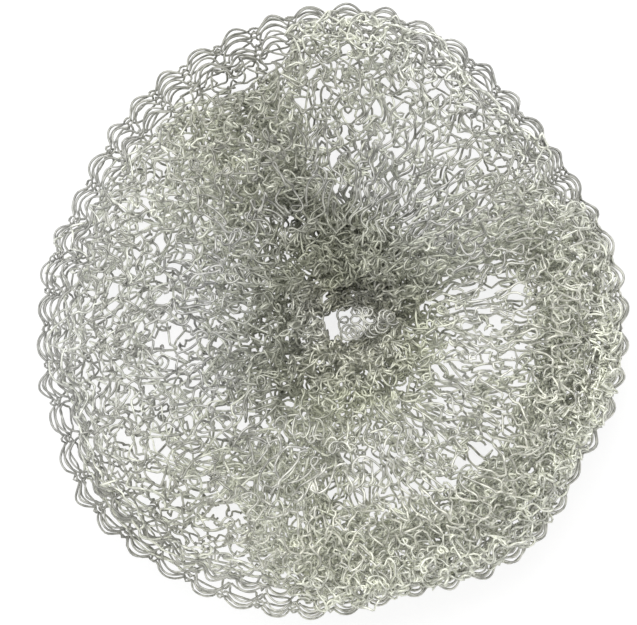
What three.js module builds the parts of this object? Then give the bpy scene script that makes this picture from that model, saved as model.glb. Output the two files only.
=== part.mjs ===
// Knitted wire scourer: one tube of knitted steel wire, rolled in on itself and gathered at the middle
// into a puffy round pad. Millimetres, +Z up, origin on the ground under the middle of the pad's box.
import * as THREE from 'three';
import { mergeVertices } from 'three/addons/utils/BufferGeometryUtils.js';

// Pad
const PAD_RADIUS = 39.5; // mean radius of the rim
const PAD_THICKNESS = 24; // ground to crest
const RIM_HEIGHT = 10; // height of the rim's edge
const RIM_SLOPE = 60; // degrees, how steeply both faces leave the edge
const RIM_FULLNESS = 8; // how far each face keeps that slope
const CREST_FULLNESS = 6; // how far the top keeps level outside its crest
const FOOT_FULLNESS = 3; // how far the underside keeps level outside its foot
const CREST_RADIUS = 25; // ring where the top stands highest
const FOOT_INNER_RADIUS = 17; // flat ring that the pad lies on
const FOOT_OUTER_RADIUS = 30;

// Gather at the middle, where both faces are drawn in to a small eye
const GATHER_OFFSET = new THREE.Vector2(2.1, -1.8); // from the middle of the rim
const GATHER_EYE_RADIUS = 2.8;
const GATHER_TOP = 12.5; // height of the eye's upper and lower lips
const GATHER_BASE = 7.5;
const GATHER_FLARE = 1.2; // how far the lips turn outward
const PLEATS = 13;
const PLEAT_DEPTH = 0.9;
const PLEAT_RADIUS = 9; // ring where the pleats are deepest
const PLEAT_REACH = 6; // radial fall-off of the pleats

// Knit
const WALE_PITCH = 5; // rib to rib along the rim
const RIB_WIDTH = 3.4; // flat top of a rib, along the rim
const ROW_PITCH = 3.1; // row to row along the section
const RIB_HEIGHT = 1.1; // rib to groove along the rim
const LOOP_HEIGHT = 1.4; // high to low loops on both faces
const FOOT_BLEND = 3; // height over which the knit grows out of the flat foot

// Open loops through the pad: a ring of them along the rim, and every other one where the knit lies thin
const RIM_LOOP_INSET = 2.3; // rim to the middle of an open loop
const THIN_KNIT = [ // sectors in degrees, inner and outer edge as shares of the pad's radius
  { start: 48, end: 95, inner: 0.4, outer: 0.84 },
  { start: -73, end: 12, inner: 0.35, outer: 0.61 },
  { start: 157, end: 212, inner: 0.48, outer: 0.86 },
];

// Bulges and flats of the rim: angle and spread in degrees, rise in mm
const RIM_LOBES = [
  { angle: 85, spread: 15, rise: 1.9 },
  { angle: 37, spread: 25, rise: -2.6 },
  { angle: 151, spread: 24, rise: -2 },
  { angle: 221, spread: 14, rise: 2.2 },
  { angle: 252, spread: 16, rise: 1.4 },
  { angle: 281, spread: 10, rise: -0.5 },
  { angle: 309, spread: 10, rise: 1.5 },
  { angle: 328, spread: 8, rise: -0.7 },
];

// Hollows and creases of the top face: angle and spread in degrees, ring, reach and depth in mm
const TOP_FOLDS = [
  { angle: -18, spread: 48, ring: 22, reach: 6, depth: 4.5 },
  { angle: 64, spread: 22, ring: 24, reach: 9, depth: 4 },
  { angle: 88, spread: 5, ring: 24, reach: 10, depth: 3 },
  { angle: 176, spread: 34, ring: 28, reach: 8, depth: 2 },
  { angle: 233, spread: 6, ring: 34, reach: 7, depth: 3 },
  { angle: 57, spread: 5, ring: 36, reach: 5, depth: 2 },
];

// Places across one wale as shares of it: both edges of the rib's flat top, then the groove
const RIB_EDGE = RIB_WIDTH / WALE_PITCH / 2;
const WALE_COLUMNS = [-RIB_EDGE, RIB_EDGE, 0.5];

const radians = THREE.MathUtils.degToRad;
const smoothstep = THREE.MathUtils.smoothstep;

// Bell curve that is 1 at the middle and falls away over the given reach.
function bell(distance, reach) {
  return Math.exp(-((distance / reach) ** 2));
}

function angularBell(angle, middle, spread) {
  const turn = angle - radians(middle);
  const gap = Math.atan2(Math.sin(turn), Math.cos(turn));
  return bell(gap, radians(spread));
}

function rimRadius(angle) {
  const rises = RIM_LOBES.map((lobe) => lobe.rise * angularBell(angle, lobe.angle, lobe.spread));
  return rises.reduce((sum, rise) => sum + rise, PAD_RADIUS);
}

function topFoldDepth(angle, radius) {
  const depths = TOP_FOLDS.map(
    (fold) => fold.depth * angularBell(angle, fold.angle, fold.spread) * bell(radius - fold.ring, fold.reach),
  );
  return depths.reduce((sum, depth) => sum + depth, 0);
}

function pleatRise(angle, radius) {
  return PLEAT_DEPTH * Math.cos(PLEATS * angle) * bell(radius - PLEAT_RADIUS, PLEAT_REACH);
}

// Section of the pad from the eye, out along the ground, round the rim and back over the crest.
function sectionPath() {
  const lip = GATHER_EYE_RADIUS + GATHER_FLARE;
  const slope = radians(RIM_SLOPE);
  const shoulder = PAD_RADIUS - RIM_FULLNESS * Math.cos(slope);
  const rise = RIM_FULLNESS * Math.sin(slope);
  const path = new THREE.Path();
  path.moveTo(GATHER_EYE_RADIUS, GATHER_BASE);
  path.quadraticCurveTo(lip, 0, FOOT_INNER_RADIUS, 0);
  path.lineTo(FOOT_OUTER_RADIUS, 0);
  path.bezierCurveTo(
    FOOT_OUTER_RADIUS + FOOT_FULLNESS, 0, shoulder, RIM_HEIGHT - rise, PAD_RADIUS, RIM_HEIGHT,
  );
  path.bezierCurveTo(
    shoulder, RIM_HEIGHT + rise, CREST_RADIUS + CREST_FULLNESS, PAD_THICKNESS, CREST_RADIUS, PAD_THICKNESS,
  );
  path.quadraticCurveTo(lip, PAD_THICKNESS, GATHER_EYE_RADIUS, GATHER_TOP);
  path.closePath();
  return path;
}

// Points one row of knit apart along each stretch of the section, the last repeating the first.
function sectionPoints() {
  const points = sectionPath().curves.flatMap((curve) => {
    const rows = Math.max(1, Math.round(curve.getLength() / ROW_PITCH));
    return curve.getSpacedPoints(rows).slice(0, rows);
  });
  return [...points, points[0].clone()];
}

// Outward directions of a closed section whose last point repeats its first.
function sectionNormals(points) {
  const count = points.length - 1;
  return points.map((point, row) => {
    const next = points[(row + 1) % count];
    const before = points[(row + count - 1) % count];
    return new THREE.Vector2(next.y - before.y, before.x - next.x).normalize();
  });
}

function columnAngle(column, wales) {
  const wale = Math.floor(column / WALE_COLUMNS.length);
  return ((wale + WALE_COLUMNS[column % WALE_COLUMNS.length]) / wales) * 2 * Math.PI;
}

// Relief of the knit: ribs along the rim, and on both faces loops that lie high and low by turns.
function knitRelief(column, row, radius) {
  const wale = Math.floor(column / WALE_COLUMNS.length);
  const isGroove = column % WALE_COLUMNS.length === WALE_COLUMNS.length - 1;
  const atRim = smoothstep(radius, CREST_RADIUS, PAD_RADIUS);
  const onFace = smoothstep(radius, GATHER_EYE_RADIUS, CREST_RADIUS) * (1 - atRim);
  const rib = (RIB_HEIGHT / 2) * smoothstep(radius, PLEAT_RADIUS, PAD_RADIUS);
  if (isGroove) {
    return -rib;
  }
  const loop = LOOP_HEIGHT * (isRaised(wale, row) ? 0.5 : -0.5);
  return rib + loop * onFace;
}

function isRaised(wale, row) {
  return (wale + row) % 2 === 0;
}

function ringOfRow(section, row) {
  return (section[row].x + section[row + 1].x) / 2;
}

// Rows short of the rim from which the section runs outward, on the underside, or inward, on the top.
function rowsRunning(section, way) {
  const rows = section.slice(1).map((point, row) => row);
  const inside = rows.filter((row) => Math.max(section[row].x, section[row + 1].x) < PAD_RADIUS);
  return inside.filter((row) => Math.sign(section[row + 1].x - section[row].x) === way);
}

function rowAtRing(section, ring, way) {
  const off = (row) => Math.abs(ringOfRow(section, row) - ring);
  return rowsRunning(section, way).reduce((best, row) => (off(row) < off(best) ? row : best));
}

function isInSector(angle, { start, end }) {
  return THREE.MathUtils.euclideanModulo(angle - start, 360) <= end - start;
}

// Ribs and top rows where a loop is open.
function openTopLoops(section, wales) {
  const ribs = Array.from({ length: wales }, (_, wale) => wale);
  const rim = ribs.map((wale) => ({ wale, top: rowAtRing(section, PAD_RADIUS - RIM_LOOP_INSET, -1) }));
  const thin = THIN_KNIT.flatMap((zone) => {
    const share = (row) => ringOfRow(section, row) / PAD_RADIUS;
    const inZone = (row) => share(row) > zone.inner && share(row) < zone.outer;
    const crossed = ribs.filter((wale) => isInSector((wale * 360) / wales, zone));
    return rowsRunning(section, -1).filter(inZone).flatMap((top) => (
      crossed.filter((wale) => isRaised(wale, top)).map((wale) => ({ wale, top }))
    ));
  });
  return [...rim, ...thin];
}

// Column of each open loop, with the rows where it opens on the top and straight below.
function openLoops(section, wales) {
  return openTopLoops(section, wales).map(({ wale, top }) => ({
    column: wale * WALE_COLUMNS.length,
    top,
    under: rowAtRing(section, ringOfRow(section, top), 1),
  }));
}

// Faces of the pad: a four-sided cell for each column and row, and four walls for each open loop.
function knitFaces(section, wales) {
  const corner = (column, row) => column * section.length + row;
  const cell = (column, row) => [
    corner(column, row), corner(column + 1, row), corner(column + 1, row + 1), corner(column, row + 1),
  ];
  const loops = openLoops(section, wales);
  const opened = loops.flatMap(({ column, top, under }) => [corner(column, top), corner(column, under)]);
  const open = new Set(opened);
  const faces = loops.flatMap(({ column, top, under }) => {
    const upper = cell(column, top);
    const lower = cell(column, under).reverse();
    return upper.map((point, side) => {
      const next = (side + 1) % upper.length;
      return [point, upper[next], lower[next], lower[side]];
    });
  });
  for (let column = 0; column < WALE_COLUMNS.length * wales; column += 1) {
    for (let row = 0; row < section.length - 1; row += 1) {
      if (!open.has(corner(column, row))) {
        faces.push(cell(column, row));
      }
    }
  }
  return faces;
}

function padGeometry(wales) {
  const section = sectionPoints();
  const rows = section.length - 1;
  const normals = sectionNormals(section);
  const columns = WALE_COLUMNS.length * wales;
  const geometry = new THREE.LatheGeometry(section, columns);
  const place = geometry.attributes.position;
  for (let column = 0; column <= columns; column += 1) {
    const angle = columnAngle(column % columns, wales);
    const swell = rimRadius(angle) - PAD_RADIUS;
    section.forEach((point, row) => {
      const normal = normals[row];
      const outward = smoothstep(point.x, GATHER_EYE_RADIUS, PAD_RADIUS);
      const lifted = smoothstep(point.y, 0, FOOT_BLEND);
      const relief = knitRelief(column % columns, row % rows, point.x) * lifted;
      const fold = topFoldDepth(angle, point.x) * Math.max(normal.y, 0);
      const pleat = pleatRise(angle, point.x) * normal.y * lifted;
      const radius = point.x + swell * outward + relief * normal.x;
      place.setXYZ(
        column * section.length + row,
        radius * Math.cos(angle) + GATHER_OFFSET.x * (1 - outward),
        radius * Math.sin(angle) + GATHER_OFFSET.y * (1 - outward),
        point.y - fold + pleat + relief * normal.y,
      );
    });
  }
  geometry.setIndex(knitFaces(section, wales).flatMap(([a, b, c, d]) => [a, b, d, c, d, b]));
  return geometry;
}

// One closed mesh, without the seams of the turned grid.
function closed(geometry) {
  geometry.deleteAttribute('normal');
  geometry.deleteAttribute('uv');
  const merged = mergeVertices(geometry);
  merged.computeVertexNormals();
  return merged;
}

// Stands the pad on the ground with its box centred on the origin.
function centreOnGround(geometry) {
  geometry.computeBoundingBox();
  const middle = geometry.boundingBox.getCenter(new THREE.Vector3());
  return geometry.translate(-middle.x, -middle.y, -geometry.boundingBox.min.z);
}

function knittedPad() {
  const wales = Math.round((2 * Math.PI * PAD_RADIUS) / WALE_PITCH);
  const wire = new THREE.MeshStandardMaterial({ color: 0xa9aa9f, roughness: 0.4, metalness: 0.9 });
  const mesh = new THREE.Mesh(centreOnGround(closed(padGeometry(wales))), wire);
  mesh.name = 'knitted_pad';
  return mesh;
}

const scourer = new THREE.Group();
scourer.add(knittedPad());

export default scourer;
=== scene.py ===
"""Looks of a knitted steel wire scrubber.

One wire is knitted into a tube of ribs and rows. The tube is rolled in on itself and gathered at an
off-centre eye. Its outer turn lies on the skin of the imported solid, and its inner turns lie bunched
inside, nearer the rim in some places and nearer the eye in others. Metres, in the solid's own frame.

A wale is a rib of loops, a course is a row of loops round the tube, and a turn of the tube runs from
the eye over the top, round the rim and along the underside back to the eye.
"""
import math

import bpy
import numpy as np
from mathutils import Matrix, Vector
from mathutils.bvhtree import BVHTree


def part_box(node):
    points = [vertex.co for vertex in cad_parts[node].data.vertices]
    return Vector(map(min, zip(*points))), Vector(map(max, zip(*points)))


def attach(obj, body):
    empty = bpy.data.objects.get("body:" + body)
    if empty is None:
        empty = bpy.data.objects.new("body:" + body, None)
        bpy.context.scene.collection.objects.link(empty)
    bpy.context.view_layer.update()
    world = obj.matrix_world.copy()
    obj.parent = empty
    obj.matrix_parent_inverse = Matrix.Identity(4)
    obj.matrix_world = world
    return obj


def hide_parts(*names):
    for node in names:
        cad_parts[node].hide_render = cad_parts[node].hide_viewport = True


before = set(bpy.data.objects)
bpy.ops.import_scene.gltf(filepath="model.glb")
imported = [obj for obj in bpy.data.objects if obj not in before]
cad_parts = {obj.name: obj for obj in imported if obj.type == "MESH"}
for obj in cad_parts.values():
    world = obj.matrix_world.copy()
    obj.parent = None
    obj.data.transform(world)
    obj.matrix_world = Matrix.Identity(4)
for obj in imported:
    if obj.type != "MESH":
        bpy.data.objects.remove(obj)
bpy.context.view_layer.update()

PAD = "knitted_pad"
SLOT = "steel_wire"
MM = 0.001

# Wire and knit
WIRE_RADIUS = 0.16 * MM
WIRE_POINTS = 117000  # evenly spaced along the wire, with eight triangles from each to the next
TUBE_SIDES = 4  # as many as a face has corners, so that the wire's ends are faces of the same kind
PIECES = 6  # meshes that the wire is cut into
CELL_MARGIN = 0.1  # bare edge of a face's cell in the bake map
LOOP_POINTS = 56  # before the wire's points are spaced evenly
LOOP_REACH = 1.05  # courses that a loop's head stands above its foot
LOOP_OPEN = (0.2, 0.9)  # how much wider a loop's head is than its foot, away from the rim and at it
LOOP_BULGE = 0.2  # how far a loop's head and foot swell past its legs at the rim
LOOP_RELIEF = 0.24 * MM  # over and under of crossing loops
RIB_DEPTH = 1.05 * MM  # depth of the grooves between ribs at the rim
GROOVE_ROUND = 0.03  # how soft the bottom of these grooves is
SKIN_INSET = 0.3 * MM  # how far the wire lies under the ribs of the solid
SEED = 11

# Stray shape of single loops: reach in shares, lean along the course, kick along the normal
REACH_SPREAD = 0.35
LEAN_SPREAD = 1.2 * MM
KICK_SPREAD = 0.4 * MM

# Crumple of the whole fabric: wavelength and height of each kind of wave
CRUMPLES = [(14 * MM, 0.55 * MM), (7 * MM, 0.35 * MM), (3 * MM, 0.3 * MM)]
CRUMPLE_WAVES = 9  # waves of each kind
TURN_APART = 5 * MM  # distance that counts between one turn and the next, so that they crumple apart
RIM_CALM = 0.2  # share of the stray and crumple that is left at the rim
CALM_FROM = 0.82  # shares of the rim's radius over which they fade
CALM_TO = 0.95

# Tangle of the loops that are out of order: waves of the wire itself, counted in each loop
TANGLE_WAVES = 10
TANGLE_CYCLES = (1.6, 7.5)
TANGLE_HEIGHT = 0.35 * MM
TANGLE_FADE = 0.6  # how fast the waves get lower as they get shorter
TANGLED_REACH = 0.6  # share of its reach that a tangled loop keeps

# Ringlets that the wire of a tangled loop is sprung into, flat in the fabric
RINGLET_RADIUS = 0.46 * MM
RINGLET_VARY = 0.4  # share by which their radius varies
RINGLET_SWAY = 2.4  # radians by which they come early or late
SWAY_WAVES = 8  # waves that both changes are made of
SWAY_CYCLES = (0.3, 2.2)  # fewest and most of them in a loop

# Where the turns of the tube under its skin lie: angle in degrees, inner and outer edge as shares of
# the rim's radius. The first lies along the rim, and the others are bunched into folds.
RING = [
    (0, 0.75, 0.98),
    (30, 0.70, 0.96),
    (60, 0.70, 0.92),
    (78, 0.74, 0.97),
    (86, 0.81, 0.98),
    (97, 0.80, 0.97),
    (108, 0.56, 0.86),
    (120, 0.62, 0.87),
    (135, 0.62, 0.87),
    (150, 0.62, 0.91),
    (195, 0.65, 0.93),
    (240, 0.64, 0.96),
    (255, 0.68, 0.98),
    (285, 0.72, 0.98),
    (315, 0.69, 0.98),
]
FOLDS = [
    (0, 0.74, 0.97),
    (25, 0.69, 0.96),
    (35, 0.17, 0.92),
    (46, 0.16, 0.72),
    (60, 0.15, 0.36),
    (75, 0.15, 0.31),
    (101, 0.15, 0.33),
    (109, 0.42, 0.78),
    (120, 0.47, 0.80),
    (135, 0.43, 0.74),
    (150, 0.18, 0.48),
    (195, 0.17, 0.46),
    (210, 0.18, 0.60),
    (225, 0.20, 0.76),
    (240, 0.22, 0.76),
    (255, 0.27, 0.84),
    (268, 0.60, 0.96),
    (280, 0.73, 0.98),
    (345, 0.72, 0.97),
]
CLUMP = [
    (0, 0.75, 0.97),
    (25, 0.69, 0.96),
    (35, 0.17, 0.90),
    (46, 0.16, 0.66),
    (60, 0.15, 0.34),
    (75, 0.15, 0.30),
    (101, 0.15, 0.31),
    (109, 0.46, 0.76),
    (120, 0.50, 0.78),
    (140, 0.52, 0.82),
    (165, 0.57, 0.92),
    (195, 0.66, 0.93),
    (225, 0.52, 0.90),
    (240, 0.40, 0.62),
    (255, 0.54, 0.84),
    (280, 0.73, 0.98),
    (345, 0.72, 0.97),
]
EDGE_WANDER = 0.03  # how far the edges of each inner turn stray, as a share of the rim's radius
WANDER_HARMONICS = (3, 5, 8, 13)
LEAST_WIDTH = 0.1  # of an inner turn, as a share of the rim's radius
INNER_MOST = 0.975  # share of the rim's radius that no inner turn's edge passes
INNER_REACH = 0.985  # and that no inner wire passes

# How closely the ribs of the inner turns are bunched: angle in degrees, ribs there against the mean
CROWD = [
    (0, 1.3),
    (30, 1.15),
    (48, 0.42),
    (70, 0.55),
    (84, 1.5),
    (98, 1.3),
    (108, 1.5),
    (122, 0.95),
    (138, 0.62),
    (152, 0.38),
    (180, 0.22),
    (215, 0.24),
    (240, 0.40),
    (262, 1.1),
    (330, 1.25),
]
CROWD_STEPS = 720

# The same for the ribs of the skin where they are drawn in to the eye
EYE_CROWD = [
    (0, 0.6),
    (40, 0.95),
    (65, 1.35),
    (115, 1.35),
    (150, 1.0),
    (185, 0.55),
    (225, 1.1),
    (270, 1.5),
    (300, 1.35),
    (330, 1.0),
]
DRAWN_REACH = 6 * MM  # how far from the eye this crowding lasts

# Where the loops fall into order, on the skin and under it: angle in degrees, share of the rim's radius,
# and how tangled they stay in order
SKIN_ORDER = [
    (0, 0.55, 0.35),
    (20, 0.55, 0.35),
    (36, 0.85, 0.35),
    (48, 0.38, 0.08),
    (94, 0.38, 0.08),
    (108, 0.92, 0.35),
    (240, 0.92, 0.35),
    (262, 0.75, 0.35),
    (285, 0.45, 0.30),
]
INNER_ORDER = [(0, 0.9, 0.7)]
ORDER_WIDTH = 0.3  # share of the rim's radius over which they fall into order

# How many times their reach the loops in order are drawn out towards the eye, at angles in degrees
STRETCH = [
    (0, 1.2),
    (20, 1.1),
    (36, 1.0),
    (48, 1.2),
    (94, 1.2),
    (106, 1.0),
    (262, 1.0),
    (285, 1.2),
]

# How far apart the courses lie, by share of the rim's radius
SKIN_PITCH = [
    (0.10, 3.6 * MM),
    (0.30, 4.2 * MM),
    (0.45, 5.6 * MM),
    (0.60, 5.6 * MM),
    (0.72, 3.4 * MM),
    (0.85, 2.1 * MM),
    (0.92, 1.4 * MM),
]
INNER_PITCH = [(0, 3.4 * MM)]
LEAST_SHARE = 0.1  # least share of the rim's radius that a loop's width is reckoned from

# Turns of the tube from the skin inward: how each is knitted, with how tangled it is at the rim and
# where it is out of order, and each one's edges, height as a share of the skin's, and crumple
SKIN_KNIT = {"wales": 50, "ringlets": 2.6, "pitch": SKIN_PITCH, "order": SKIN_ORDER, "mess": (0, 0.85)}
INNER_KNIT = {"wales": 36, "ringlets": 6.2, "pitch": INNER_PITCH, "order": INNER_ORDER, "mess": (0.5, 1)}
TURNS = [
    {"edges": None, "tall": 1, "crumple": 1, **SKIN_KNIT},
    {"edges": RING, "tall": 0.72, "crumple": 1.6, **INNER_KNIT},
    {"edges": FOLDS, "tall": 0.63, "crumple": 2, **INNER_KNIT},
    {"edges": CLUMP, "tall": 0.50, "crumple": 2, **INNER_KNIT},
]
TURN_START = 0.07  # share of a turn, before and after its start, that the fabric takes to move to it
TUBE_END = len(TURNS) - 1e-9  # turns along the tube, just short of wrapping round to the eye

# The eye, drawn open by the gather: where its edge lies, how far the wire there is drawn back along x
# and y and moved to one side, and how far from the edge that lasts
EYE_RADIUS = 2.8 * MM
EYE_OPEN = (1.35 * MM, 0.8 * MM)
EYE_SHIFT = (-0.3 * MM, 0.8 * MM)
EYE_REACH = 4 * MM

# Curls of the wire's loose end, and the corners of their way across the eye: x and y from its middle,
# and height
CURLS = 20
CURL_POINTS = 16
CURL_RADIUS = 0.8 * MM
CURL_SPREAD = (0.7, 1.3)
CURL_TILT = 0.5  # how high a curl is against its width
CURL_TWIST = 1 * MM  # length along x in which this tilt turns by a radian
CURL_PATH = [
    (-0.7 * MM, 1.4 * MM, 16.5 * MM),
    (0.2 * MM, -1.6 * MM, 16.5 * MM),
    (1.6 * MM, -1.4 * MM, 16.5 * MM),
    (1.3 * MM, 1.3 * MM, 16.5 * MM),
    (3.0 * MM, 1.3 * MM, 16.8 * MM),
    (3.2 * MM, -1.2 * MM, 16.8 * MM),
    (4.8 * MM, -0.8 * MM, 18.4 * MM),
    (5.0 * MM, 1.0 * MM, 18.6 * MM),
    (6.2 * MM, 0.2 * MM, 20.0 * MM),
]
CURL_COLOUR = (0.72, 0.72, 0.67)

# Colour of the wire under the skin and on it, by share of the rim's radius, with painted light and shade:
# the inner turns are painted lighter than the skin, both are painted darker round the deep core, and the
# skin is painted lighter again at the eye's edge, where its funnel lies in shade.
INNER_COLOURS_AND_SHADE = [
    (0.20, (0.58, 0.59, 0.50)),
    (0.45, (0.92, 0.93, 0.86)),
]
SKIN_COLOURS_AND_SHADE = [
    (0.10, (0.82, 0.82, 0.75)),
    (0.24, (0.53, 0.54, 0.46)),
    (0.45, (0.60, 0.60, 0.58)),
    (0.75, (0.58, 0.58, 0.53)),
    (0.92, (0.54, 0.54, 0.51)),
]
PALEST = 0.97  # lightest that any channel of a colour gets

# Painted light and shade by angle in degrees: by how much the colour is multiplied, and its blue once more.
# The wire is painted darker over the deep clump of folds near 112 degrees and lighter over the thinly
# covered right and lower side.
ANGLE_LIGHT_AND_SHADE = [
    (0, 1.44, 0.98),
    (15, 1.42, 0.98),
    (32, 1.07, 0.99),
    (60, 1.06, 1.0),
    (78, 1.12, 1.0),
    (90, 1.0, 0.98),
    (112, 0.85, 0.96),
    (125, 0.98, 0.96),
    (140, 1.11, 0.99),
    (165, 1.09, 1.01),
    (195, 1.07, 1.01),
    (225, 0.98, 0.97),
    (245, 1.36, 0.98),
    (265, 1.52, 0.97),
    (292, 1.48, 0.98),
    (315, 1.42, 0.98),
    (330, 1.42, 0.98),
    (345, 1.54, 0.98),
]
ANGLE_SHADE_REACH = (0.08, 0.35)  # shares of the rim's radius over which the first of them comes to count

# Finish of the wire: mottling of random tone with painted glints and painted shade, roughness and dents,
# all from one noise
GRAIN_SCALE = 800
GRAIN_DETAIL = 2
MOTTLE_AND_GLINTS = [(0.38, 0.6), (0.58, 1.0)]  # place in the noise and share of the colour
ROUGHNESS = (0.5, 0.75)
DENT_STRENGTH = 0.5
DENT_DEPTH = 0.1 * MM

# Reading of the solid
SECTION_COLUMNS = 200
SECTION_RAYS = 128
SECTION_RING = 0.6  # ring inside the solid that the section is read from, as a share of the rim's radius
RAY_START = 4  # how far out the rays towards this ring start, in its radii
RIB_COLUMNS = 2  # columns on each side over which the ribs are smoothed out
PROBE = 6 * MM  # half width of the search for the eye
PROBE_STEP = 0.25 * MM
NUDGE = 1e-3  # radians round the eye, and turns along the tube, over which the fabric's directions are read
TINY = 1e-12  # least length that a direction is divided by

# Studio: metres, watts and shares of white
FLOOR_SIZE = 3
FLOOR_GREY = 0.25
FLOOR_GLOW = 0.8
SKY_STRENGTH = 0.8
LAMP_ENERGY = 1.2
LAMP_SIZE = 0.25
LAMP_PLACE = (-0.05, 0.18, 0.40)

# Camera and photograph
IMAGE = (637, 625)
PHOTO_SCALE = 7.5  # pixels per millimetre at the rim
PHOTO_CENTRE = (332.5, 309.5)  # middle of the pad in the photograph
RIM_HEIGHT = 10 * MM
CAMERA_DISTANCE = 0.45

rng = np.random.default_rng(SEED)


def solid_tree(node):
    """Ray-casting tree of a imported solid."""
    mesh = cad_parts[node].data
    return BVHTree.FromPolygons(
        [vertex.co for vertex in mesh.vertices],
        [face.vertices for face in mesh.polygons],
    )


def find_eye(tree, top):
    """Middle of the small hole that a vertical ray passes through."""
    steps = np.arange(-PROBE, PROBE, PROBE_STEP)
    open_spots = [
        (x, y)
        for x in steps
        for y in steps
        if tree.ray_cast((x, y, top), (0, 0, -1))[0] is None
    ]
    return np.mean(open_spots, axis=0)


def read_sections(tree, eye, ring, height):
    """Radius and height of the skin about the eye, for each column of angles, evenly along the section."""
    far = RAY_START * ring
    angles = np.arange(SECTION_COLUMNS) * 2 * math.pi / SECTION_COLUMNS
    turns = math.pi - np.arange(SECTION_RAYS) * 2 * math.pi / SECTION_RAYS
    reach = np.zeros((SECTION_COLUMNS, SECTION_RAYS))
    for column, angle in enumerate(angles):
        out = np.array([math.cos(angle), math.sin(angle), 0])
        centre = np.array([eye[0], eye[1], height]) + ring * out
        for ray, turn in enumerate(turns):
            way = math.cos(turn) * out + np.array([0, 0, math.sin(turn)])
            # A ray from the side of the eye starts on the eye's axis, short of the solid beyond it
            start = far if math.cos(turn) > -ring / far else ring / -math.cos(turn)
            hit = tree.ray_cast(Vector(centre + way * start), Vector(-way))
            reach[column, ray] = start - hit[3] if hit[0] is not None else 0
    reach = over_ribs(reach)
    radius = ring + reach * np.cos(turns)
    level = height + reach * np.sin(turns)
    return even_rows(radius, level)


def over_ribs(reach):
    """The skin that the ribs and loops of the solid touch from inside, without them."""
    near = range(-RIB_COLUMNS, RIB_COLUMNS + 1)
    highest = np.max([np.roll(reach, shift, 0) for shift in near], axis=0)
    return np.mean([np.roll(highest, shift, 0) for shift in near], axis=0)


def even_rows(radius, level):
    """The same closed sections with their points evenly spaced."""
    rows = np.linspace(0, 1, SECTION_RAYS, endpoint=False)
    even = []
    for r, z in zip(radius, level):
        r = np.append(r, r[0])
        z = np.append(z, z[0])
        run = np.append(0, np.cumsum(np.hypot(np.diff(r), np.diff(z))))
        even.append((np.interp(rows, run / run[-1], r), np.interp(rows, run / run[-1], z)))
    even = np.array(even)
    return even[:, 0], even[:, 1]


def periodic(table, column, row):
    """Value between the entries of a table that wraps round both ways."""
    columns, rows = table.shape
    left = np.floor(column).astype(int)
    below = np.floor(row).astype(int)
    across = column - left
    up = row - below
    right = (left + 1) % columns
    above = (below + 1) % rows
    left = left % columns
    below = below % rows
    start = table[left, below] * (1 - up) + table[left, above] * up
    end = table[right, below] * (1 - up) + table[right, above] * up
    return start * (1 - across) + end * across


def smooth(value, start, end):
    """From 0 at the start to 1 at the end, gently at both."""
    share = np.clip((value - start) / (end - start), 0, 1)
    return share * share * (3 - 2 * share)


def round_table(angle, table, column):
    """Smooth value between the listed angles, round the full turn."""
    at = np.radians([row[0] for row in table] + [table[0][0] + 360])
    values = np.array([row[column] for row in table] + [table[0][column]])
    index = np.clip(np.searchsorted(at, angle, side="right") - 1, 0, len(table) - 1)
    share = smooth(angle, at[index], at[index + 1])
    return values[index] * (1 - share) + values[index + 1] * share


def bunching(table):
    """Even angles round the eye, and the angles that crowding moves them to."""
    moved = np.linspace(0, 2 * math.pi, CROWD_STEPS + 1)
    crowd = round_table(moved[:-1], table, 1)
    return np.append(0, np.cumsum(crowd)) * 2 * math.pi / np.sum(crowd), moved


def unit(vectors):
    """The same directions, each with a length of one."""
    return vectors / np.maximum(np.linalg.norm(vectors, axis=-1, keepdims=True), TINY)


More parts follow.
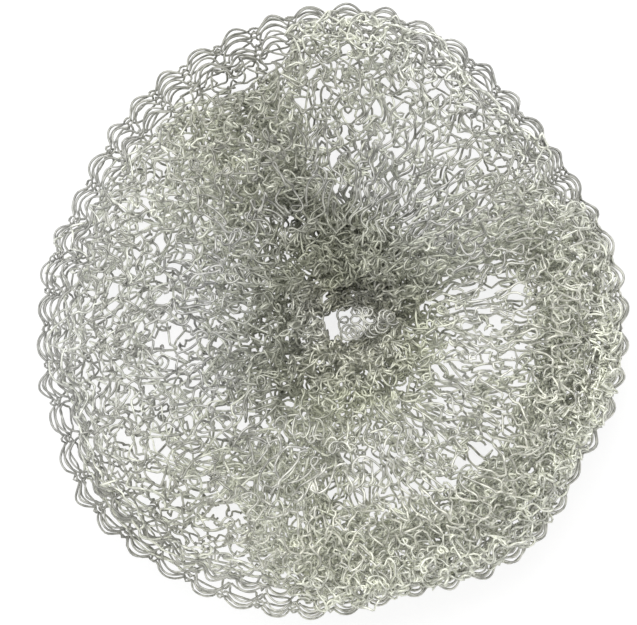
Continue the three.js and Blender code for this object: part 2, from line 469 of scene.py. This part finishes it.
class Fabric:
    """The knitted tube as a surface: angle round the eye, and turns along the rolled-in section."""

    def __init__(self):
        tree = solid_tree(PAD)
        low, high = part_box(PAD)
        self.height = RIM_HEIGHT
        self.rim = (high.x - low.x + high.y - low.y) / 4
        self.eye = find_eye(tree, high.z + MM)
        ring = SECTION_RING * self.rim
        self.radius, self.level = read_sections(tree, self.eye, ring, self.height)
        self.inner = self.radius.min(1)
        self.outer = self.radius.max(1)
        self.wander = rng.uniform(0, 2 * math.pi, (len(TURNS), 2, len(WANDER_HARMONICS)))
        self.crumples = [self.crumple_waves(*crumple) for crumple in CRUMPLES]
        self.bunched = bunching(CROWD)
        self.drawn = bunching(EYE_CROWD)
        self.tangle_cycles = rng.uniform(*TANGLE_CYCLES, TANGLE_WAVES)
        self.tangle_moves = rng.normal(size=(TANGLE_WAVES, 3)) / self.tangle_cycles[:, None] ** TANGLE_FADE
        self.tangle_moves *= TANGLE_HEIGHT / np.linalg.norm(self.tangle_moves, axis=0) * math.sqrt(2)
        self.tangle_phases = rng.uniform(0, 2 * math.pi, (TANGLE_WAVES, 3))
        self.sway_cycles = rng.uniform(*SWAY_CYCLES, (2, SWAY_WAVES))
        self.sway_phases = rng.uniform(0, 2 * math.pi, (2, SWAY_WAVES))
        self.place_courses()

    def crumple_waves(self, wavelength, height):
        """Ways that the waves run in space and across the turns, how they move the wire, and phases."""
        ways = rng.normal(size=(CRUMPLE_WAVES, 4))
        ways *= (2 * math.pi / wavelength) / np.linalg.norm(ways[:, :3], axis=1)[:, None]
        moves = rng.normal(size=(CRUMPLE_WAVES, 3)) * height / math.sqrt(CRUMPLE_WAVES / 2)
        phases = rng.uniform(0, 2 * math.pi, CRUMPLE_WAVES)
        return ways, moves, phases

    def place_courses(self):
        """Count the courses along the tube, as far apart as each turn's pitch says."""
        rows = np.arange(len(TURNS) * SECTION_RAYS + 1) / SECTION_RAYS
        angle = np.arange(SECTION_COLUMNS) * 2 * math.pi / SECTION_COLUMNS
        place = self.surface(angle[:, None], np.minimum(rows, TUBE_END)[None, :])[0]
        flat = place[..., :2] - self.eye
        radius = np.hypot(flat[..., 0], flat[..., 1])
        steps = np.linalg.norm(np.diff(place, axis=1), axis=2).mean(0)
        share = radius.mean(0)[1:] / self.rim
        pitch = [
            np.interp(part, *zip(*turn["pitch"]))
            for turn, part in zip(TURNS, np.split(share, len(TURNS)))
        ]
        self.rows = rows
        self.counted = np.append(0, np.cumsum(steps / np.concatenate(pitch)))
        self.starts = np.round(self.counted[::SECTION_RAYS]).astype(int)
        self.starts[0] = -1  # one course more, in the eye

    def along(self, course):
        """Turns along the tube at a number of courses."""
        return np.interp(course, self.counted, self.rows, right=TUBE_END)

    def column(self, angle):
        """Place of an angle among the columns of the sections."""
        return angle / (2 * math.pi) * SECTION_COLUMNS

    def stray(self, angle, phases):
        """Wander of a turn's edge, as a share of the rim's radius."""
        waves = [np.sin(count * angle + phase) for count, phase in zip(WANDER_HARMONICS, phases)]
        return EDGE_WANDER * np.sum(waves, axis=0) / math.sqrt(len(WANDER_HARMONICS) / 2)

    def edges(self, index, angle, outer):
        """Radius of an inner turn's two edges."""
        table = TURNS[index]["edges"]
        near = round_table(angle, table, 1) + self.stray(angle, self.wander[index, 0])
        far = round_table(angle, table, 2) + self.stray(angle, self.wander[index, 1])
        far = np.minimum(far, INNER_MOST)
        near = np.minimum(near, far - LEAST_WIDTH)
        return near * outer, far * outer

    def surface(self, angle, along):
        """Place on the fabric and its share of the rim's radius, at turns along the tube from the eye."""
        angle, along = np.broadcast_arrays(np.mod(angle, 2 * math.pi), along)
        row = np.mod(along, 1) * SECTION_RAYS
        near_eye = np.exp((EYE_RADIUS - periodic(self.radius, self.column(angle), row)) / DRAWN_REACH)
        skin = angle + near_eye * (np.interp(angle, *self.drawn) - angle)
        depth = smooth(along, 1 - TURN_START, 1 + TURN_START)
        angle = skin * (1 - depth) + np.interp(angle, *self.bunched) * depth
        column = self.column(angle)
        flat = np.zeros_like(column)
        radius = periodic(self.radius, column, row)
        level = periodic(self.level, column, row)
        inner = periodic(self.inner[:, None], column, flat)
        outer = periodic(self.outer[:, None], column, flat)
        across = (radius - inner) / (outer - inner)
        r = radius
        z = level
        for index in range(1, len(TURNS)):
            share = smooth(along, index - TURN_START, index + TURN_START)
            near, far = self.edges(index, angle, outer)
            r = r * (1 - share) + (near + across * (far - near)) * share
            z = z * (1 - share) + (self.height + (level - self.height) * TURNS[index]["tall"]) * share
        drawn = np.exp((EYE_RADIUS - r) / EYE_REACH)
        x = self.eye[0] + EYE_SHIFT[0] * drawn + (r + EYE_OPEN[0] * drawn) * np.cos(angle)
        y = self.eye[1] + EYE_SHIFT[1] * drawn + (r + EYE_OPEN[1] * drawn) * np.sin(angle)
        place = np.stack([x, y, z], -1)
        return place, r / outer

    def directions(self, angle, along, place):
        """Unit vectors at places on the fabric: round the eye, onward along the tube, and outward."""
        across = unit(self.surface(angle + NUDGE, along)[0] - place)
        onward = unit(self.surface(angle, along + NUDGE)[0] - place)
        return across, onward, unit(np.cross(onward, across))

    def angle_round_eye(self, place):
        """Angle of places round the eye, from 0 to a full turn."""
        flat = place[..., :2] - self.eye
        return np.mod(np.arctan2(flat[..., 1], flat[..., 0]), 2 * math.pi)

    def tucked(self, place):
        """The same places, drawn in from the rim where they pass it."""
        flat = place[..., :2] - self.eye
        column = self.column(self.angle_round_eye(place))
        limit = INNER_REACH * periodic(self.outer[:, None], column, np.zeros_like(column))
        flat *= np.minimum(1, limit / np.linalg.norm(flat, axis=-1))[..., None]
        return np.concatenate([self.eye + flat, place[..., 2:]], -1)

    def crumple(self, place, along):
        """How far the crumpling moves places on the fabric."""
        moved = np.zeros_like(place)
        for ways, moves, phases in self.crumples:
            waves = place @ ways[:, :3].T + along[..., None] * ways[:, 3] * TURN_APART + phases
            moved += np.sin(waves) @ moves
        return moved

    def ringlets(self, loops, count):
        """Stray of the wire in the fabric, across and onward, at a number of loops along it."""
        turns = 2 * math.pi * loops[..., None, None] * self.sway_cycles + self.sway_phases
        early, wide = np.moveaxis(np.sin(turns).sum(-1) / math.sqrt(SWAY_WAVES / 2), -1, 0)
        turn = 2 * math.pi * count * loops + RINGLET_SWAY * early
        radius = RINGLET_RADIUS * (1 + RINGLET_VARY * wide)
        return radius * np.cos(turn), radius * np.sin(turn)

    def tangle(self, loops):
        """Stray of the wire out of order, at a number of loops along it."""
        turns = 2 * math.pi * loops[..., None, None] * self.tangle_cycles[:, None]
        return np.sum(np.sin(turns + self.tangle_phases) * self.tangle_moves, axis=-2)


def loop_mess(turn, angle, share, near_rim):
    """How tangled loops are, from 0 to 1, by angle round the eye and share of the rim's radius."""
    rim_mess, most = turn["mess"]
    order = round_table(angle, turn["order"], 1)
    least = round_table(angle, turn["order"], 2)
    mess = least + (most - least) * (1 - smooth(share, order - ORDER_WIDTH, order))
    return mess + (rim_mess - mess) * near_rim


def knit_turn(fabric, index):
    """Wire of one turn of the tube: points, the fabric's outward direction and the wire's colour with
    painted light and shade.
    """
    turn = TURNS[index]
    wales = turn["wales"]
    stitch = np.arange(fabric.starts[index] * wales, fabric.starts[index + 1] * wales)[:, None]
    phase = np.linspace(0, 2 * math.pi, LOOP_POINTS, endpoint=False)[None, :]
    rise = (1 - np.cos(phase)) / 2
    stray = rng.uniform(-1, 1, (3, len(stitch), 1))
    foot_angle = np.mod(2 * math.pi * stitch / wales, 2 * math.pi)
    foot_share = fabric.surface(foot_angle, fabric.along(stitch / wales))[1]
    near_rim = smooth(foot_share, CALM_FROM, CALM_TO)
    calm = 1 - (1 - RIM_CALM) * near_rim
    mess = loop_mess(turn, foot_angle, foot_share, near_rim)
    stretch = 1 + (round_table(foot_angle, STRETCH, 1) - 1) * (1 - mess) * (1 - near_rim)
    reach = LOOP_REACH * stretch * (1 + REACH_SPREAD * calm * stray[0]) * (1 - (1 - TANGLED_REACH) * mess)
    wide = LOOP_OPEN[0] + (LOOP_OPEN[1] - LOOP_OPEN[0]) * near_rim
    swing = (phase - wide * np.sin(phase) + LOOP_BULGE * near_rim * np.sin(2 * phase)) / (2 * math.pi)
    width = 2 * math.pi * fabric.rim * np.maximum(foot_share, LEAST_SHARE) / wales
    wale = stitch + swing + LEAN_SPREAD * mess / width * calm * stray[1] * rise
    along = fabric.along(stitch / wales + reach * rise)
    angle = 2 * math.pi * wale / wales
    place, share = fabric.surface(angle, along)
    across, onward, normal = fabric.directions(angle, along, place)
    rib = RIB_DEPTH * np.clip(share, 0, 1) * (np.sqrt(np.sin(math.pi * wale) ** 2 + GROOVE_ROUND) - 1)
    offset = rib - SKIN_INSET + LOOP_RELIEF * np.cos(2 * phase) + KICK_SPREAD * calm * stray[2] * rise
    place = place + normal * offset[..., None]
    place = place + fabric.crumple(place, along) * (turn["crumple"] * calm)[..., None]
    loops = stitch + phase / (2 * math.pi)
    sideways, forward = fabric.ringlets(loops, turn["ringlets"])
    sprung = across * sideways[..., None] + onward * forward[..., None] + fabric.tangle(loops)
    place = place + sprung * mess[..., None]
    if index > 0:
        place = fabric.tucked(place)
    place[..., 2] = np.maximum(place[..., 2], WIRE_RADIUS)
    colour = wire_colour_with_painted_light(along, share, fabric.angle_round_eye(place))
    wire = np.concatenate([place, normal, colour], -1)
    return wire.reshape(-1, wire.shape[-1])


def blend(value, colours):
    """Colour between the listed ones."""
    stops = [stop for stop, _ in colours]
    channels = zip(*[colour for _, colour in colours])
    return np.stack([np.interp(value, stops, channel) for channel in channels], -1)


def wire_colour_with_painted_light(along, share, angle):
    """Colour of the wire with painted light and shade, by turns along the tube, share of the rim's radius
    and angle round the eye.
    """
    depth = smooth(along, 1 - TURN_START, 1 + TURN_START)[..., None]
    # Skin and inner colours, with painted light and shade by share of the rim's radius
    colour = blend(share, SKIN_COLOURS_AND_SHADE) * (1 - depth) + blend(share, INNER_COLOURS_AND_SHADE) * depth
    # Painted light and shade by angle round the eye, faded in away from the eye
    colour *= (1 + (round_table(angle, ANGLE_LIGHT_AND_SHADE, 1) - 1) * smooth(share, *ANGLE_SHADE_REACH))[..., None]
    colour[..., 2] *= round_table(angle, ANGLE_LIGHT_AND_SHADE, 2)
    return colour * np.minimum(1, PALEST / colour.max(-1, keepdims=True))


def curl_end(fabric):
    """Loose end of the wire, curled across the eye, with the same columns as a turn of the tube."""
    curl = np.arange(CURLS * CURL_POINTS) / CURL_POINTS
    corners = np.linspace(0, CURLS, len(CURL_PATH))
    x, y, z = [np.interp(curl, corners, axis) for axis in zip(*CURL_PATH)]
    radius = np.interp(curl, np.arange(CURLS + 1), CURL_RADIUS * rng.uniform(*CURL_SPREAD, CURLS + 1))
    turn = 2 * math.pi * curl
    place = np.stack([
        fabric.eye[0] + EYE_SHIFT[0] + x + radius * np.cos(turn),
        fabric.eye[1] + EYE_SHIFT[1] + y + radius * np.sin(turn),
        z + CURL_TILT * radius * np.sin(turn + x / CURL_TWIST),
    ], -1)
    normal = np.tile([0, 0, 1.0], (len(curl), 1))
    return np.concatenate([place, normal, np.tile(CURL_COLOUR, (len(curl), 1))], -1)


def even_wire(wire):
    """The same wire with its points evenly spaced along it."""
    run = np.append(0, np.cumsum(np.linalg.norm(np.diff(wire[:, :3], axis=0), axis=1)))
    even = np.linspace(0, run[-1], WIRE_POINTS)
    return np.stack([np.interp(even, run, column) for column in wire.T], -1)


def knit_wire(fabric):
    """The one wire: its points, the fabric's outward direction and the wire's colour with painted light and
    shade at each.
    """
    runs = [curl_end(fabric)] + [knit_turn(fabric, index) for index in range(len(TURNS))]
    wire = even_wire(np.concatenate(runs))
    return wire[:, :3], wire[:, 3:6], wire[:, 6:]


def tube_mesh(name, path, normal, colour):
    """Wire along a path, closed at both ends and shaded round."""
    tangent = unit(np.gradient(path, axis=0))
    side = unit(np.cross(tangent, normal))
    up = np.cross(side, tangent)
    angles = np.arange(TUBE_SIDES) * 2 * math.pi / TUBE_SIDES
    ring = np.cos(angles)[None, :, None] * side[:, None, :] + np.sin(angles)[None, :, None] * up[:, None, :]
    points = (path[:, None, :] + WIRE_RADIUS * ring).reshape(-1, 3)
    segments = len(path) - 1
    first = np.arange(segments)[:, None] * TUBE_SIDES
    corner = np.arange(TUBE_SIDES)[None, :]
    following = (corner + 1) % TUBE_SIDES
    sides = np.stack([
        first + corner,
        first + following,
        first + TUBE_SIDES + following,
        first + TUBE_SIDES + corner,
    ], -1)
    caps = [np.arange(TUBE_SIDES)[::-1], segments * TUBE_SIDES + np.arange(TUBE_SIDES)]
    faces = np.concatenate([sides.reshape(-1, sides.shape[-1]), caps]).astype(np.int32)
    mesh = bpy.data.meshes.new(name)
    mesh.vertices.add(len(points))
    mesh.vertices.foreach_set("co", points.ravel())
    mesh.loops.add(faces.size)
    mesh.loops.foreach_set("vertex_index", faces.ravel())
    mesh.polygons.add(len(faces))
    mesh.polygons.foreach_set("loop_start", faces.shape[1] * np.arange(len(faces), dtype=np.int32))
    mesh.polygons.foreach_set("use_smooth", np.ones(len(faces), bool))
    mesh.update(calc_edges=True)
    # Colour with painted light and shade, kept on the wire's points
    paint = np.repeat(np.append(colour, np.ones((len(colour), 1)), axis=1), TUBE_SIDES, axis=0)
    mesh.attributes.new("wire_colour_with_painted_light", "FLOAT_COLOR", "POINT").data.foreach_set("color", paint.ravel())
    mesh.uv_layers.new(name="OFBake").data.foreach_set("uv", face_cells(len(faces)).ravel())
    return mesh


def face_cells(count):
    """Corners of one cell of a square grid for each four-sided face."""
    side = math.ceil(math.sqrt(count))
    corner = np.stack([np.arange(count) % side, np.arange(count) // side], -1)[:, None, :]
    square = np.array([(0, 0), (1, 0), (1, 1), (0, 1)])
    return (corner + CELL_MARGIN + (1 - 2 * CELL_MARGIN) * square) / side


def wire_material():
    """Satin metal in the wire's colour with its painted light and shade, mottled with random tone and
    painted glints, dented and unevenly rough along its length.
    """
    material = bpy.data.materials.new(SLOT)
    material.use_nodes = True
    nodes = material.node_tree.nodes
    links = material.node_tree.links
    shader = nodes["Principled BSDF"]
    shader.inputs["Metallic"].default_value = 1
    where = nodes.new("ShaderNodeTexCoord")
    grain = nodes.new("ShaderNodeTexNoise")
    grain.inputs["Scale"].default_value = GRAIN_SCALE
    grain.inputs["Detail"].default_value = GRAIN_DETAIL
    # Random mottle of the wire, whose pale spots are painted glints and whose dark spots are painted shade
    mottle_and_glints = nodes.new("ShaderNodeValToRGB")
    for element, (position, share) in zip(mottle_and_glints.color_ramp.elements, MOTTLE_AND_GLINTS):
        element.position = position
        element.color = (share, share, share, 1)
    # Colour of the wire, with its painted light and shade
    colour = nodes.new("ShaderNodeAttribute")
    colour.attribute_name = "wire_colour_with_painted_light"
    tone = nodes.new("ShaderNodeMix")
    tone.data_type = "RGBA"
    tone.blend_type = "MULTIPLY"
    tone.inputs["Factor"].default_value = 1
    tone_a, tone_b = [socket for socket in tone.inputs if socket.type == "RGBA"]
    toned = next(socket for socket in tone.outputs if socket.type == "RGBA")
    gloss = nodes.new("ShaderNodeMapRange")
    gloss.inputs["To Min"].default_value = ROUGHNESS[0]
    gloss.inputs["To Max"].default_value = ROUGHNESS[1]
    dents = nodes.new("ShaderNodeBump")
    dents.inputs["Strength"].default_value = DENT_STRENGTH
    dents.inputs["Distance"].default_value = DENT_DEPTH
    links.new(where.outputs["Object"], grain.inputs["Vector"])
    links.new(grain.outputs["Fac"], mottle_and_glints.inputs["Fac"])
    links.new(colour.outputs["Color"], tone_a)
    links.new(mottle_and_glints.outputs["Color"], tone_b)
    links.new(toned, shader.inputs["Base Color"])
    links.new(grain.outputs["Fac"], gloss.inputs["Value"])
    links.new(gloss.outputs["Result"], shader.inputs["Roughness"])
    links.new(grain.outputs["Fac"], dents.inputs["Height"])
    links.new(dents.outputs["Normal"], shader.inputs["Normal"])
    return material


def make_wire():
    """The knitted wire, cut into pieces that each end where the next begins."""
    fabric = Fabric()
    path, normal, colour = knit_wire(fabric)
    material = wire_material()
    cuts = np.linspace(0, len(path), PIECES + 1).astype(int)
    for index in range(PIECES):
        part = slice(cuts[index], min(cuts[index + 1] + 1, len(path)))
        mesh = tube_mesh(f"wire_{index + 1}", path[part], normal[part], colour[part])
        mesh.materials.append(material)
        piece = bpy.data.objects.new(mesh.name, mesh)
        bpy.context.collection.objects.link(piece)
        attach(piece, "root")
        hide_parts(PAD)


def make_floor():
    """Floor that shows white and keeps the pad's shadow."""
    bpy.ops.mesh.primitive_plane_add(size=FLOOR_SIZE)
    floor = bpy.context.object
    floor.name = "floor"
    material = bpy.data.materials.new("floor_white")
    material.use_nodes = True
    nodes = material.node_tree.nodes
    links = material.node_tree.links
    nodes.remove(nodes["Principled BSDF"])
    matte = nodes.new("ShaderNodeBsdfDiffuse")
    matte.inputs["Color"].default_value = (FLOOR_GREY, FLOOR_GREY, FLOOR_GREY, 1)
    glow = nodes.new("ShaderNodeEmission")
    both = nodes.new("ShaderNodeAddShader")
    links.new(matte.outputs[0], both.inputs[0])
    links.new(glow.outputs[0], both.inputs[1])
    links.new(seen_directly(nodes, links, FLOOR_GLOW), glow.inputs["Strength"])
    links.new(both.outputs[0], nodes["Material Output"].inputs["Surface"])
    floor.data.materials.append(material)


def seen_directly(nodes, links, strength):
    """Strength for rays that the camera, a glossy or a clear surface sends, and nothing for lighting."""
    path = nodes.new("ShaderNodeLightPath")
    first = nodes.new("ShaderNodeMath")
    first.operation = "MAXIMUM"
    second = nodes.new("ShaderNodeMath")
    second.operation = "MAXIMUM"
    scaled = nodes.new("ShaderNodeMath")
    scaled.operation = "MULTIPLY"
    scaled.inputs[1].default_value = strength
    links.new(path.outputs["Is Camera Ray"], first.inputs[0])
    links.new(path.outputs["Is Glossy Ray"], first.inputs[1])
    links.new(first.outputs[0], second.inputs[0])
    links.new(path.outputs["Is Transmission Ray"], second.inputs[1])
    links.new(second.outputs[0], scaled.inputs[0])
    return scaled.outputs[0]


def make_light():
    """White surroundings, and one large lamp above the back of the pad."""
    world = bpy.data.worlds.new("studio")
    bpy.context.scene.world = world
    world.use_nodes = True
    sky = world.node_tree.nodes["Background"]
    sky.inputs["Color"].default_value = (1, 1, 1, 1)
    sky.inputs["Strength"].default_value = SKY_STRENGTH
    lamp = bpy.data.lights.new("key", "AREA")
    lamp.energy = LAMP_ENERGY
    lamp.size = LAMP_SIZE
    key = bpy.data.objects.new("key", lamp)
    key.location = LAMP_PLACE
    key.rotation_euler = (-key.location).to_track_quat("-Z", "Y").to_euler()
    bpy.context.collection.objects.link(key)


def make_camera():
    """Camera straight above, framed as the photograph is."""
    camera = bpy.data.objects.new("camera", bpy.data.cameras.new("camera"))
    bpy.context.collection.objects.link(camera)
    pixel = MM / PHOTO_SCALE
    camera.location = (
        (IMAGE[0] / 2 - PHOTO_CENTRE[0]) * pixel,
        (PHOTO_CENTRE[1] - IMAGE[1] / 2) * pixel,
        RIM_HEIGHT + CAMERA_DISTANCE,
    )
    camera.data.lens = camera.data.sensor_width * CAMERA_DISTANCE / (IMAGE[0] * pixel)
    bpy.context.scene.camera = camera


bpy.context.scene.view_settings.view_transform = "Standard"
make_wire()
make_floor()
make_light()
make_camera()
